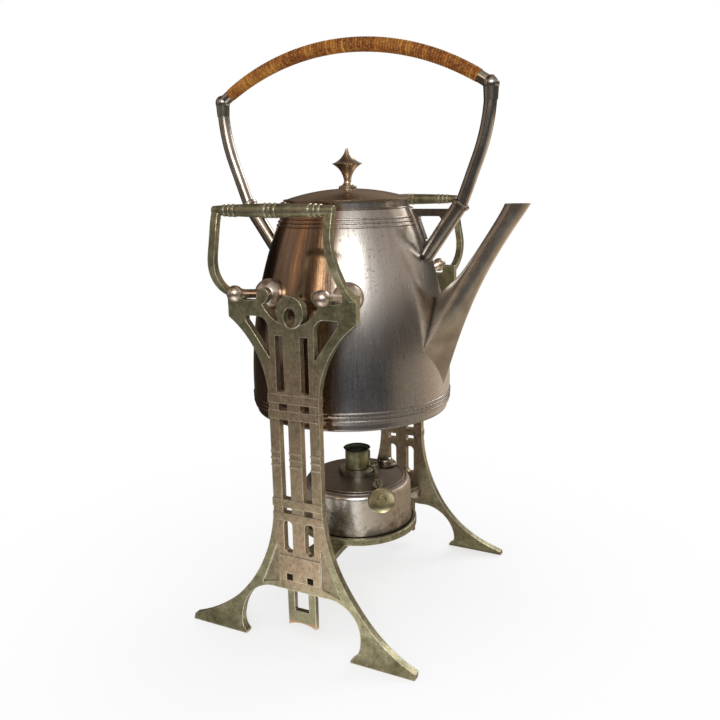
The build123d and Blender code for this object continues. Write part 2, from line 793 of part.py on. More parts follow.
with BuildPart() as right_bracket:
    # open web between the body and the diagonal socket
    with BuildSketch(kettle_plane):
        with BuildLine():
            Polyline(
                (bracket_inner, bracket_top),
                (socket_top[0] - bar_depth, bracket_top),
                (socket_foot[0] - bar_depth / 2, bracket_low),
                (bracket_inner, bracket_low),
                close=True,
            )
        make_face()
        with BuildLine():
            FilletPolyline(
                (window_inner, bracket_top - bracket_rail),
                (window_outer, bracket_top - bracket_rail),
                window_knee,
                window_foot,
                close=True,
                radius=window_corner,
            )
        make_face(mode=Mode.SUBTRACT)
    extrude(amount=bracket_web / 2, both=True)
    # bar that lies on the body
    with BuildSketch(kettle_plane):
        with BuildLine():
            body_arc(bar_low, body_top, -bar_depth)
            Polyline(
                (body_radius(body_top, -bar_depth), body_top),
                (bracket_inner, body_top),
                (bracket_inner, bar_low),
                (body_radius(bar_low, -bar_depth), bar_low),
            )
        make_face()
    extrude(amount=bracket_bar / 2, both=True)
    # diagonal socket
    with BuildSketch(Plane(origin=kettle_point(*socket_foot), z_dir=socket_way)):
        Circle(socket_radius)
    extrude(amount=socket_length)
    with BuildSketch(Plane(origin=kettle_point(*socket_foot), z_dir=tuple(-w for w in socket_way))):
        Circle(socket_radius)
    extrude(amount=socket_radius, taper=socket_taper)
    add(kettle_form.part, mode=Mode.SUBTRACT)
right_bracket.part.label = "right_bracket"

with BuildPart() as right_ferrule:
    with BuildSketch(Plane(origin=kettle_point(*socket_top), z_dir=socket_way)):
        Circle(ferrule_radius)
    extrude(amount=ferrule_length)
    chamfer(right_ferrule.edges().filter_by(GeomType.CIRCLE), ferrule_length / 4)
right_ferrule.part.label = "right_ferrule"

upright_foot = (
    socket_top[0] + ferrule_length * socket_way[0],
    socket_top[1] + ferrule_length * socket_way[2],
)
upright_run = (upright_bend[0] - upright_foot[0], upright_bend[1] - upright_foot[1])
upright_way = (upright_run[0] / math.hypot(*upright_run), 0, upright_run[1] / math.hypot(*upright_run))
upright_start = (
    upright_foot[0] - ferrule_length * upright_way[0],
    upright_foot[1] - ferrule_length * upright_way[2],
)
with BuildPart() as right_upright:
    with BuildLine() as upright_path:
        Line(kettle_point(*upright_start), kettle_point(*upright_bend))
        TangentArc(
            kettle_point(*upright_bend),
            kettle_point(knuckle_reach, knuckle_height),
            tangent=upright_way,
        )
    with BuildSketch(Plane(origin=kettle_point(*upright_start), z_dir=upright_way)):
        Circle(upright_radius)
    sweep(path=upright_path.wires()[0])
    # its foot is cut square to the ferrule
    with BuildSketch(Plane(origin=kettle_point(*upright_foot), z_dir=tuple(-w for w in socket_way))):
        Circle(2 * ferrule_radius)
    extrude(amount=2 * ferrule_length, mode=Mode.SUBTRACT)
right_upright.part.label = "right_upright"

# ---------------------------------------------------------------- knuckles and grip
grip_foot = (knuckle_reach - 1, knuckle_height + 0.8)

with BuildPart() as grip_core:
    with BuildLine() as grip_path:
        ThreePointArc(
            kettle_point(-grip_foot[0], grip_foot[1]),
            kettle_point(0, grip_apex),
            kettle_point(*grip_foot),
        )
    grip_wire = grip_path.wires()[0]
    with BuildSketch(Plane(origin=grip_wire @ 0, z_dir=grip_wire % 0)):
        Circle(grip_core_radius)
    sweep(path=grip_wire)
grip_edge = grip_wire.edges()[0]
wrap_edge = grip_edge.trim(wrap_start, 1 - wrap_start)
with BuildPart() as cane_wrap:
    with BuildSketch(Plane(origin=wrap_edge @ 0, z_dir=wrap_edge % 0)):
        Circle(grip_radius)
        Circle(grip_core_radius, mode=Mode.SUBTRACT)
    sweep(path=wrap_edge)
cane_wrap.part.label = "cane_wrap"
export_step(cane_wrap.part, "parts/cane_wrap.step")

with BuildPart() as right_knuckle:
    with Locations(kettle_point(knuckle_reach, knuckle_height)):
        Sphere(knuckle_radius)
    with Locations(kettle_point(knuckle_reach, knuckle_height)):
        Cone(
            upright_radius + knuckle_collar_lip,
            knuckle_radius - knuckle_collar_lip,
            knuckle_collar_drop,
            align=(Align.CENTER, Align.CENTER, Align.MAX),
        )
    add(right_upright.part, mode=Mode.SUBTRACT)
    add(grip_core.part, mode=Mode.SUBTRACT)
    add(cane_wrap.part, mode=Mode.SUBTRACT)
right_knuckle.part.label = "right_knuckle"
with BuildPart(mode=Mode.PRIVATE) as core_less_uprights:
    add(grip_core.part)
    add(right_upright.part, mode=Mode.SUBTRACT)
    add(mirror(right_upright.part, kettle_mirror), mode=Mode.SUBTRACT)
core_less_uprights.part.label = "grip_core"
export_step(core_less_uprights.part, "parts/grip_core.step")

for piece in (right_bracket, right_ferrule, right_upright, right_knuckle):
    name = piece.part.label
    export_step(piece.part, "parts/" + name + ".step")
    left = mirror(piece.part, kettle_mirror)
    left.label = name.replace("right_", "left_")
    export_step(left, "parts/" + left.label + ".step")


# ---------------------------------------------------------------- lid, finial and hinge
hinge_x = kettle_x - hinge_reach
lid_low = neck_top
lid_edge = lid_low + lid_rim_thickness
lid_crown = lid_edge + lid_rise
dome_start = lid_radius - lid_lip
collar_radius_lid = neck_inner - collar_clearance
leaf_half = 1.5 * hinge_knuckle + hinge_gap
rim_reach = hinge_reach - lid_radius
dome_arc = (dome_start**2 + lid_rise**2) / (2 * lid_rise)
crown_inner = lid_crown - lid_wall


def dome_height(radius, drop=0.0):
    """Height of the lid's dome at a radius, or of its inside."""
    return lid_crown - dome_arc + math.sqrt((dome_arc - drop) ** 2 - radius**2)


with BuildPart() as hinge_rod:
    with BuildSketch(Plane((hinge_x, 0, hinge_height)).rotated((90, 0, 0))):
        Circle(hinge_pin_radius)
    extrude(amount=leaf_half, both=True)
hinge_rod.part.label = "hinge_pin"
export_step(hinge_rod.part, "parts/hinge_pin.step")

hinge_plane = Plane(origin=(hinge_x, 0, hinge_height), x_dir=(1, 0, 0), z_dir=(0, -1, 0))
with BuildPart() as lid:
    with BuildSketch(kettle_plane):
        with BuildLine():
            inner_edge = collar_radius_lid - lid_wall
            inner_rim = dome_height(inner_edge, lid_wall)
            ThreePointArc(
                (0, lid_crown), (dome_start / 2, dome_height(dome_start / 2)), (dome_start, lid_edge)
            )
            Polyline((dome_start, lid_edge), (lid_radius, lid_edge), (lid_radius, lid_low))
            Polyline(
                (lid_radius, lid_low),
                (collar_radius_lid, lid_low),
                (collar_radius_lid, lid_low - collar_depth),
                (inner_edge, lid_low - collar_depth),
                (inner_edge, inner_rim),
            )
            ThreePointArc(
                (inner_edge, inner_rim),
                (inner_edge / 2, dome_height(inner_edge / 2, lid_wall)),
                (0, crown_inner),
            )
            Line((0, crown_inner), (0, lid_crown))
        make_face()
    revolve(axis=kettle_axis)
    # middle knuckle and its leaf on the rim
    with BuildSketch(hinge_plane):
        Circle(hinge_radius)
        with BuildLine():
            Polyline(
                (0, hinge_radius),
                (rim_reach + 1, lid_edge + leaf_thickness - hinge_height),
                (rim_reach + 1, lid_edge - lid_rim_thickness / 2 - hinge_height),
                (rim_reach - 0.2, lid_low - 1 - hinge_height),
                (0, 0),
                close=True,
            )
        make_face()
        Circle(hinge_pin_radius + hinge_fit, mode=Mode.SUBTRACT)
    extrude(amount=hinge_knuckle / 2, both=True)
lid.part.label = "lid"
export_step(lid.part, "parts/lid.step")

leaf_reach = hinge_reach - neck_radius + body_wall / 2
with BuildPart() as hinge_leaf:
    # outer knuckles and the leaf soldered to the kettle's neck
    with BuildSketch(hinge_plane):
        Circle(hinge_radius)
        with BuildLine():
            Polyline(
                (0, -hinge_radius),
                (0, 0),
                (leaf_reach, 0.6),
                (leaf_reach, body_top - hinge_height),
                close=True,
            )
        make_face()
        Circle(hinge_pin_radius, mode=Mode.SUBTRACT)
    extrude(amount=leaf_half, both=True)
    with BuildSketch(hinge_plane):
        Rectangle(4 * hinge_reach, 4 * hinge_radius)
    extrude(amount=hinge_knuckle / 2 + hinge_gap, both=True, mode=Mode.SUBTRACT)
    add(kettle_form.part, mode=Mode.SUBTRACT)
hinge_leaf.part.label = "hinge_leaf"
export_step(hinge_leaf.part, "parts/hinge_leaf.step")

with BuildPart() as finial:
    with BuildSketch(kettle_plane):
        with BuildLine():
            foot_low = dome_height(finial_foot)
            foot_rim = foot_low + finial_foot_rise
            shoulder = (finial_foot - finial_foot_rise, lid_crown + finial_neck)
            tip = (finial_tip, lid_crown + finial_height)
            wide = (finial_radius, lid_crown + finial_wide_height)
            waist = (finial_stem, lid_crown + finial_waist_height)
            point_turn = finial_height - finial_wide_height
            waist_turn = finial_wide_height - finial_waist_height
            Polyline((0, lid_crown), (0, tip[1]), tip)
            ThreePointArc(tip, (finial_hollow * wide[0], wide[1] + 0.36 * point_turn), wide)
            ThreePointArc(wide, (finial_radius / 2, wide[1] - 0.38 * waist_turn), waist)
            ThreePointArc(
                waist,
                (finial_stem + finial_tip / 2, (waist[1] + shoulder[1]) / 2 - finial_tip / 2),
                shoulder,
            )
            Polyline(shoulder, (finial_foot, foot_rim), (finial_foot, foot_low))
            ThreePointArc(
                (finial_foot, foot_low), (finial_foot / 2, dome_height(finial_foot / 2)), (0, lid_crown)
            )
        make_face()
    revolve(axis=kettle_axis)
finial.part.label = "finial"
export_step(finial.part, "parts/finial.step")


# ---------------------------------------------------------------- spirit lamp
def top_at(radius):
    """Height of the lamp's gently coned top."""
    return top_height - (radius - collar_radius) * (top_height - top_edge) / (top_radius - collar_radius)


filler_at = (
    filler_distance * math.cos(math.radians(filler_angle)),
    filler_distance * math.sin(math.radians(filler_angle)),
)

with BuildPart() as lamp_reservoir:
    with BuildSketch(Plane.XZ):
        with BuildLine():
            Polyline(
                (0, lamp_low),
                (reservoir_radius - tin_wall, lamp_low),
                (reservoir_radius, lamp_low + tin_wall),
                (reservoir_top_radius, shoulder_height),
            )
            ThreePointArc(
                (reservoir_top_radius, shoulder_height),
                (reservoir_top_radius - 0.3 * shoulder_run, shoulder_height + 0.65 * shoulder_lift),
                (reservoir_top_radius - shoulder_run, shoulder_height + shoulder_lift),
            )
            Polyline(
                (reservoir_top_radius - shoulder_run, shoulder_height + shoulder_lift),
                (top_radius, top_edge),
                (collar_radius, top_height),
                (0, top_height),
                (0, lamp_low),
            )
        make_face()
        with Locations(*ridge_spots):
            Circle(ridge_radius)
    revolve(axis=Axis.Z)
    with BuildSketch(Plane.XZ):
        with BuildLine():
            Polyline(
                (0, lamp_low + tin_wall),
                (reservoir_radius - 2 * tin_wall, lamp_low + tin_wall),
                (reservoir_top_radius - tin_wall, shoulder_height),
                (top_radius, top_edge - 2 * tin_wall),
                (collar_radius, top_height - tin_wall),
                (0, top_height - tin_wall),
                close=True,
            )
        make_face()
    revolve(axis=Axis.Z, mode=Mode.SUBTRACT)
    with BuildSketch(Plane.XY.offset(top_height - 3 * tin_wall)):
        Circle(burner_hole)
    extrude(amount=6 * tin_wall, mode=Mode.SUBTRACT)
    with BuildSketch(Plane.XY.offset(neck_low)):
        with Locations(filler_at):
            Circle(filler_neck_radius)
    extrude(amount=neck_height - neck_low, mode=Mode.SUBTRACT)
lamp_reservoir.part.label = "lamp_reservoir"
export_step(lamp_reservoir.part, "parts/lamp_reservoir.step")

with BuildPart() as filler_neck:
    with BuildSketch(Plane.XY.offset(neck_low)):
        with Locations(filler_at):
            Circle(filler_neck_radius)
            Circle(filler_neck_radius - neck_wall, mode=Mode.SUBTRACT)
    extrude(amount=neck_height - neck_low)
filler_neck.part.label = "filler_neck"
export_step(filler_neck.part, "parts/filler_neck.step")

cap_low = top_at(filler_distance - cap_radius) + cap_fit
with BuildPart() as filler_cap:
    with BuildSketch(Plane((filler_at[0], filler_at[1], cap_low))):
        Circle(cap_radius)
    extrude(amount=cap_rim)
    chamfer(filler_cap.faces().sort_by(Axis.Z)[-1].edges(), cap_rim / 3)
    with BuildSketch(Plane((filler_at[0], filler_at[1], cap_low + cap_rim))):
        Circle(cap_dome_radius)
    extrude(amount=cap_height - cap_rim)
    fillet(filler_cap.faces().sort_by(Axis.Z)[-1].edges(), 0.85 * (cap_height - cap_rim))
    with BuildSketch(Plane((filler_at[0], filler_at[1], cap_low))):
        Circle(filler_neck_radius + cap_fit)
    extrude(amount=neck_height - cap_low, mode=Mode.SUBTRACT)
filler_cap.part.label = "filler_cap"
export_step(filler_cap.part, "parts/filler_cap.step")

# the regulator: a toothed spindle beside the sleeve lifts a rack that is fixed to the sleeve
spindle_way = (math.cos(math.radians(spindle_angle)), math.sin(math.radians(spindle_angle)))
across_way = (-spindle_way[1], spindle_way[0])
pinion_reach = sleeve_radius + rack_thickness + pinion_pitch_radius
tooth_pitch = 2 * math.pi * pinion_pitch_radius / pinion_tooth_count
sleeve_low = collar_high + sleeve_rest
rack_teeth_below = math.ceil(lift_travel / tooth_pitch) + 1
rack_root = pinion_pitch_radius + tooth_dedendum


def lamp_point(across, along, z):
    """A point from the sleeve's axis: sideways towards the rack, and along the spindle."""
    return (
        across * across_way[0] + along * spindle_way[0],
        across * across_way[1] + along * spindle_way[1],
        z,
    )


def spindle_plane(along, across=None):
    """A plane square to the spindle, with X away from the sleeve and Y up."""
    reach = pinion_reach if across is None else across
    return Plane(
        origin=lamp_point(reach, along, spindle_height),
        x_dir=(*across_way, 0),
        z_dir=(*spindle_way, 0),
    )


cheek_low = collar_low + 0.3 - spindle_height
with BuildPart() as burner:
    # collar that closes the lamp, with a guide tube for the wick and cheeks for the spindle
    with BuildSketch(Plane.XY.offset(collar_low)):
        Circle(collar_radius)
    extrude(amount=collar_high - collar_low)
    chamfer(burner.faces().sort_by(Axis.Z)[-1].edges(), 0.8 * burner_wall)
    with BuildSketch(Plane.XY.offset(collar_low - burner_drop)):
        Circle(burner_hole)
        Circle(burner_hole - burner_wall, mode=Mode.SUBTRACT)
    extrude(amount=burner_drop)
    with BuildSketch(spindle_plane(0)):
        with Locations((0, (cheek_top + cheek_low) / 2)):
            Rectangle(cheek_width, cheek_top - cheek_low)
    extrude(amount=pinion_length / 2 + cheek_gap + cheek_thickness, both=True)
    with BuildSketch(spindle_plane(0, 0)):
        with Locations((sleeve_radius - sleeve_wall + notch_reach / 2, 0)):
            Rectangle(notch_reach, 3.4 * burner_drop)
    extrude(amount=pinion_length / 2 + cheek_gap, both=True, mode=Mode.SUBTRACT)
    with BuildSketch(spindle_plane(-collar_radius)):
        Circle(spindle_radius + spindle_fit)
    extrude(amount=2 * collar_radius, mode=Mode.SUBTRACT)
    with BuildSketch(Plane.XY.offset(collar_low)):
        Circle(wick_tube_radius)
    extrude(amount=collar_high, mode=Mode.SUBTRACT)
burner.part.label = "burner"
export_step(burner.part, "parts/burner.step")

with BuildPart() as wick_tube:
    with BuildSketch(Plane.XY.offset(wick_low + wick_show)):
        Circle(wick_tube_radius)
        Circle(wick_tube_radius - wick_tube_wall, mode=Mode.SUBTRACT)
    extrude(amount=wick_top - wick_show - wick_low - wick_show)
wick_tube.part.label = "wick_tube"
export_step(wick_tube.part, "parts/wick_tube.step")

with BuildPart() as wick:
    with BuildSketch(Plane.XY.offset(wick_low)):
        Circle(wick_radius)
    extrude(amount=wick_top - wick_low)
wick.part.label = "wick"
export_step(wick.part, "parts/wick.step")

with BuildPart() as sleeve:
    with BuildSketch(Plane.XZ):
        with BuildLine():
            flare_low = sleeve_top - 2.2
            Polyline(
                (sleeve_radius - sleeve_wall, sleeve_low),
                (sleeve_radius, sleeve_low),
                (sleeve_radius, flare_low),
            )
            ThreePointArc(
                (sleeve_radius, flare_low), (sleeve_radius + 0.3, flare_low + 1.2), (sleeve_flare, sleeve_top)
            )
            Line((sleeve_flare, sleeve_top), (sleeve_flare - sleeve_wall, sleeve_top + 0.3))
            ThreePointArc(
                (sleeve_flare - sleeve_wall, sleeve_top + 0.3),
                (sleeve_radius + 0.3 - sleeve_wall, flare_low + 1.4),
                (sleeve_radius - sleeve_wall, flare_low),
            )
            Line((sleeve_radius - sleeve_wall, flare_low), (sleeve_radius - sleeve_wall, sleeve_low))
        make_face()
    revolve(axis=Axis.Z)
    # rack with teeth facing the spindle
    rack_foot = -rack_teeth_below * tooth_pitch
    rack_head = flare_low - 0.5 - spindle_height
    rack_back = sleeve_radius - sleeve_wall / 2 - pinion_reach
    with BuildSketch(spindle_plane(0)):
        with Locations(((rack_back - rack_root) / 2, (rack_head + rack_foot) / 2)):
            Rectangle(-rack_root - rack_back, rack_head - rack_foot)
        with BuildLine():
            teeth_count = int((rack_head - rack_foot) / tooth_pitch)
            for tooth in range(teeth_count):
                middle = rack_foot + (tooth + 0.5) * tooth_pitch
                Polyline(
                    (-rack_root - 0.2, middle - tooth_foot / 2),
                    (-rack_root, middle - tooth_foot / 2),
                    (-rack_root + tooth_height, middle - tooth_crest / 2),
                    (-rack_root + tooth_height, middle + tooth_crest / 2),
                    (-rack_root, middle + tooth_foot / 2),
                    (-rack_root - 0.2, middle + tooth_foot / 2),
                    close=True,
                )
        make_face()
    extrude(amount=rack_width / 2, both=True)
sleeve.part.label = "sleeve"
export_step(sleeve.part, "parts/sleeve.step")

spindle_tail = pinion_length / 2 + cheek_gap + cheek_thickness + 0.8
with BuildPart() as spindle:
    with BuildSketch(spindle_plane(-spindle_tail)):
        Circle(spindle_radius)
    extrude(amount=spindle_tail + knob_distance - knob_thickness)
    with BuildSketch(spindle_plane(0)):
        Circle(pinion_pitch_radius - tooth_dedendum)
        with BuildLine():
            Polyline(
                (-spindle_radius, -tooth_foot / 2),
                (-spindle_radius, tooth_foot / 2),
                (-pinion_pitch_radius - tooth_height + tooth_dedendum, tooth_crest / 2),
                (-pinion_pitch_radius - tooth_height + tooth_dedendum, -tooth_crest / 2),
                close=True,
            )
        tooth_face = make_face()
        for tooth in range(1, pinion_tooth_count):
            add(tooth_face.rotate(Axis.Z, tooth * 360 / pinion_tooth_count))
    extrude(amount=pinion_length / 2, both=True)
spindle.part.label = "spindle"
export_step(spindle.part, "parts/spindle.step")

knob_plane = Plane(
    origin=lamp_point(pinion_reach, 0, spindle_height),
    x_dir=(*spindle_way, 0),
    z_dir=(-across_way[0], -across_way[1], 0),
)
with BuildPart() as knob:
    with BuildSketch(knob_plane):
        with BuildLine():
            Polyline(
                (knob_distance - knob_thickness - knob_hub, 0),
                (knob_distance - knob_thickness - knob_hub, hub_radius),
                (knob_distance - knob_thickness, hub_radius),
                (knob_distance - 2 * knob_edge, knob_radius - knob_edge / 2),
                (knob_distance - knob_edge, knob_radius),
                (knob_distance, knob_radius - knob_edge),
            )
            ThreePointArc(
                (knob_distance, knob_radius - knob_edge),
                (knob_distance - 0.8 * knob_dish, 0.62 * knob_radius),
                (knob_distance - knob_dish, hub_radius + knob_edge),
            )
            Polyline(
                (knob_distance - knob_dish, hub_radius + knob_edge),
                (knob_distance - knob_edge, hub_radius),
                (knob_distance - knob_edge, 0),
                (knob_distance - knob_thickness - knob_hub, 0),
            )
        make_face()
    revolve(axis=Axis(knob_plane.origin, (*spindle_way, 0)))
    add(spindle.part, mode=Mode.SUBTRACT)
knob.part.label = "knob"
export_step(knob.part, "parts/knob.step")

with BuildPart() as spindle_post:
    with BuildSketch(spindle_plane(post_reach - post_length / 2)):
        Circle(post_radius)
        with Locations((0, (post_foot - spindle_height) / 2)):
            Rectangle(1.2 * post_radius, spindle_height - post_foot)
        Circle(spindle_radius + spindle_fit, mode=Mode.SUBTRACT)
    extrude(amount=post_length / 2)
    with BuildSketch(spindle_plane(post_reach)):
        Circle(post_radius)
        Circle(spindle_radius + spindle_fit, mode=Mode.SUBTRACT)
    extrude(amount=post_length)
    add(lamp_reservoir.part, mode=Mode.SUBTRACT)
spindle_post.part.label = "spindle_post"
export_step(spindle_post.part, "parts/spindle_post.step")
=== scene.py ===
import math
import random

import bmesh
import bpy
from mathutils import Matrix, Vector


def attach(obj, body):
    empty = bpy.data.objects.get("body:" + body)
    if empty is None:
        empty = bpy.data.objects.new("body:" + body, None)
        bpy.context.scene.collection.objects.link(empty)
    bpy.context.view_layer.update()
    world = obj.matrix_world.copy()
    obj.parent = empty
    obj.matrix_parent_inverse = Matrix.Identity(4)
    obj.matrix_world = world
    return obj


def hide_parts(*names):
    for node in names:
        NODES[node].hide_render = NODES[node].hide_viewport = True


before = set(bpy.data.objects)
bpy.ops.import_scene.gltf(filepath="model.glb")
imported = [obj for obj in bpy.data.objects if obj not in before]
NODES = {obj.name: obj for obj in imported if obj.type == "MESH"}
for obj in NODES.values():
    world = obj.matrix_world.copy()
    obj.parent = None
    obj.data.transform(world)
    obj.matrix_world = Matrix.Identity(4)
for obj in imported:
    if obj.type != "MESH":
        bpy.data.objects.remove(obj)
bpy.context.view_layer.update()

MM = 0.001

KETTLE_X = -2.6 * MM         # the kettle's own upright axis
KETTLE_FOOT = 135 * MM       # where the body's lower part, with its painted dark reflection, starts
KETTLE_WORN = 240 * MM       # and the worn copper under its neck
FRAME_FACE = 74 * MM         # the side frames lie further out than this
SUNK_FACE = 80.5 * MM        # a sunk ground of the frames lies nearer than this
SUNK_TOP = 60 * MM
TONGUE_HALF = 10.5 * MM      # half width of the frames' tongues
LAMP_FLOOR = 50 * MM
LAMP_SHOULDER = 80 * MM
SLEEVE_BORE = 7.65 * MM      # the burner's sleeve: its bore and the start of its flared mouth
SLEEVE_MOUTH = 102.3 * MM
WICK_CHAR = 97 * MM


# ------------------------------------------------------------------ nodes
class Nodes:
    """A node tree, with short calls for the nodes that are used here."""

    def __init__(self, tree):
        self.tree = tree
        self.tree.nodes.clear()

    def add(self, kind, **settings):
        node = self.tree.nodes.new(kind)
        for key, value in settings.items():
            setattr(node, key, value)
        return node

    def put(self, socket, value):
        """Link a socket, or give it a number or a colour of its own."""
        if isinstance(value, bpy.types.NodeSocket):
            self.tree.links.new(value, socket)
        elif isinstance(value, (tuple, list)) and len(value) == 3 and socket.type == "RGBA":
            socket.default_value = (*value, 1.0)
        else:
            socket.default_value = value

    def math(self, kind, a, b=0.0, clamp=False):
        node = self.add("ShaderNodeMath", operation=kind, use_clamp=clamp)
        self.put(node.inputs[0], a)
        self.put(node.inputs[1], b)
        return node.outputs[0]

    def times(self, a, b, clamp=False):
        return self.math("MULTIPLY", a, b, clamp)

    def plus(self, a, b, clamp=False):
        return self.math("ADD", a, b, clamp)

    def less(self, a, b):
        return self.math("SUBTRACT", a, b)

    def past(self, value, start, gain):
        """How far a value is past its start, times a gain."""
        return self.times(self.less(value, start), gain)

    def split(self, vector):
        node = self.add("ShaderNodeSeparateXYZ")
        self.put(node.inputs[0], vector)
        return node.outputs

    def joined(self, *values):
        node = self.add("ShaderNodeCombineXYZ")
        for socket, value in zip(node.inputs, values):
            self.put(socket, value)
        return node.outputs[0]

    def turns(self, x, y):
        """The angle from +X, in turns."""
        return self.math("DIVIDE", self.math("ARCTAN2", y, x), 2 * math.pi)

    def ramp(self, fac, *stops, ease=False):
        node = self.add("ShaderNodeValToRGB")
        if ease:
            node.color_ramp.interpolation = "EASE"
        ramp = node.color_ramp
        while len(ramp.elements) < len(stops):
            ramp.elements.new(0.5)
        for element, (place, colour) in zip(ramp.elements, stops):
            element.position = place
            grey = isinstance(colour, (int, float))
            element.color = (colour, colour, colour, 1) if grey else (*colour, 1)
        self.put(node.inputs[0], fac)
        return node.outputs[0]

    def mask(self, fac, off, on):
        """A slope from 0 at one value to 1 at another, flat beyond them."""
        return self.ramp(fac, *sorted(((off, 0.0), (on, 1.0))))

    def mix(self, fac, a, b, kind="MIX"):
        node = self.add("ShaderNodeMix", data_type="RGBA", blend_type=kind)
        self.put(node.inputs[0], fac)
        self.put(node.inputs[6], a)
        self.put(node.inputs[7], b)
        return node.outputs[2]

    def choose(self, fac, a, b):
        """The first shader where fac is 0, the second where it is 1."""
        node = self.add("ShaderNodeMixShader")
        for socket, value in zip(node.inputs, (fac, a, b)):
            self.put(socket, value)
        return node.outputs[0]


class Material(Nodes):
    """A material with one principled shader, on the object's own coordinates."""

    def __init__(self, name):
        self.material = bpy.data.materials.new(name)
        self.material.use_nodes = True
        super().__init__(self.material.node_tree)
        self.shader = self.add("ShaderNodeBsdfPrincipled")
        self.output = self.add("ShaderNodeOutputMaterial").inputs[0]
        self.put(self.output, self.shader.outputs[0])
        self.object = self.add("ShaderNodeTexCoord").outputs["Object"]

    def noise(self, scale, detail=4.0, rough=0.55, vector=None):
        node = self.add("ShaderNodeTexNoise")
        node.inputs["Scale"].default_value = scale
        node.inputs["Detail"].default_value = detail
        node.inputs["Roughness"].default_value = rough
        self.put(node.inputs["Vector"], vector or self.object)
        return node.outputs["Fac"]

    def stretched(self, scale):
        node = self.add("ShaderNodeMapping")
        self.put(node.inputs["Vector"], self.object)
        node.inputs["Scale"].default_value = scale
        return node.outputs[0]

    def rounded(self, radius):
        """The surface's normal with its edges rounded off."""
        bevel = self.add("ShaderNodeBevel", samples=4)
        bevel.inputs["Radius"].default_value = radius
        return bevel.outputs[0]

    def edges(self, radius):
        """1 along worn edges, 0 on flat ground."""
        ground = self.add("ShaderNodeNewGeometry")
        dot = self.add("ShaderNodeVectorMath", operation="DOT_PRODUCT")
        self.put(dot.inputs[0], self.rounded(radius))
        self.put(dot.inputs[1], ground.outputs["Normal"])
        return self.mask(dot.outputs["Value"], 0.985, 0.80)

    def crevice(self, distance):
        """1 in the open, less in corners."""
        node = self.add("ShaderNodeAmbientOcclusion", samples=4)
        node.inputs["Distance"].default_value = distance
        return node.outputs["AO"]

    def bump(self, height, strength, distance, normal=None):
        node = self.add("ShaderNodeBump")
        node.inputs["Strength"].default_value = strength
        node.inputs["Distance"].default_value = distance
        self.put(node.inputs["Height"], height)
        if normal is not None:
            self.put(node.inputs["Normal"], normal)
        return node.outputs[0]

    def around(self, centre_x=0.0):
        """Angle round an upright axis in turns, height, and distance from the axis."""
        x, y, z = self.split(self.object)
        x = self.less(x, centre_x)
        radius = self.math("SQRT", self.plus(self.times(x, x), self.times(y, y)))
        return self.turns(x, y), z, radius

    def finish(self, colour, rough, metal=1.0, normal=None):
        self.put(self.shader.inputs["Base Color"], colour)
        self.put(self.shader.inputs["Roughness"], rough)
        self.put(self.shader.inputs["Metallic"], metal)
        if normal is not None:
            self.put(self.shader.inputs["Normal"], normal)
        return self.material


def dimmed(colour, share):
    return tuple(share * c for c in colour)


# ------------------------------------------------------------------ materials
def plated_body():
    """Worn nickel over copper: grey towards the spout, brown and streaked on the other side, that
    brown being both copper and a painted brown reflection; darker low down with a painted dark
    reflection.
    """
    m = Material("body_plate")
    angle, height, _ = m.around(KETTLE_X)
    drawn = m.joined(m.times(angle, 60.0), m.times(height, 7.0))
    streak = m.noise(1.0, detail=6, rough=0.62, vector=drawn)
    band = m.noise(0.32, detail=3, rough=0.5, vector=drawn)
    fine = m.noise(7.0, detail=4, rough=0.65, vector=drawn)
    cloud = m.noise(30.0, detail=6, rough=0.62)
    pits = m.noise(620.0, detail=2, rough=0.5)
    flecks = m.noise(800.0, detail=2, rough=0.5)
    low = m.ramp(
        m.past(height, KETTLE_FOOT, 7.5),
        (0.0, 1.0),
        (0.35, 0.85),
        (0.62, 0.0),
        ease=True,
    )
    brown_side = m.ramp(
        m.plus(angle, 0.5),
        (0.0, 0.85),
        (0.10, 0.98),
        (0.275, 0.95),
        (0.298, 0.75),
        (0.318, 0.06),
        (0.9, 0.25),
        (1.0, 0.8),
        ease=True,
    )
    nickel = m.mix(m.mask(cloud, 0.35, 0.7), (0.56, 0.545, 0.53), (0.66, 0.645, 0.62))
    # painted dark reflection: the lower body is darkened where it would mirror the dark room below
    nickel = m.mix(m.times(low, 0.62), nickel, (0.26, 0.27, 0.29))
    nickel = m.mix(m.times(m.mask(band, 0.42, 0.68), 0.28), nickel, (0.42, 0.35, 0.30))
    copper = m.mix(m.mask(fine, 0.3, 0.7), (0.23, 0.150, 0.095), (0.44, 0.295, 0.190))
    worn = m.mask(m.past(height, KETTLE_WORN, 30.0), 0.3, 0.9)
    copper = m.mix(m.times(worn, 0.55), copper, (0.56, 0.285, 0.140))
    # the brown on the side away from the spout is copper showing through the worn nickel, and also
    # a painted brown reflection of the room
    veil = m.times(brown_side, m.ramp(streak, (0.30, 0.72), (0.60, 1.0)), clamp=True)
    colour = m.mix(veil, nickel, copper)
    tarnish = m.times(m.mask(streak, 0.54, 0.68), m.mask(cloud, 0.45, 0.62))
    colour = m.mix(m.times(tarnish, 0.30), colour, (0.16, 0.12, 0.10))
    spots = m.times(m.mask(pits, 0.60, 0.68), m.mask(cloud, 0.40, 0.60))
    colour = m.mix(m.times(spots, 0.45), colour, (0.10, 0.08, 0.07))
    bright = m.times(m.mask(flecks, 0.60, 0.68), low)
    colour = m.mix(m.times(bright, 0.35), colour, (0.80, 0.79, 0.77))
    # painted shade in the body's corners and creases
    corner = m.ramp(m.crevice(0.003), (0.2, 0.9), (0.75, 0.0))
    colour = m.mix(corner, colour, (0.10, 0.08, 0.06))
    rough = m.plus(m.times(fine, 0.20), 0.155)
    rough = m.less(rough, m.times(brown_side, 0.15))
    normal = m.bump(fine, 0.16, 0.0003)
    normal = m.bump(m.noise(11.0, detail=2), 0.30, 0.0014, normal)
    return m.finish(colour, rough, 1.0, normal)


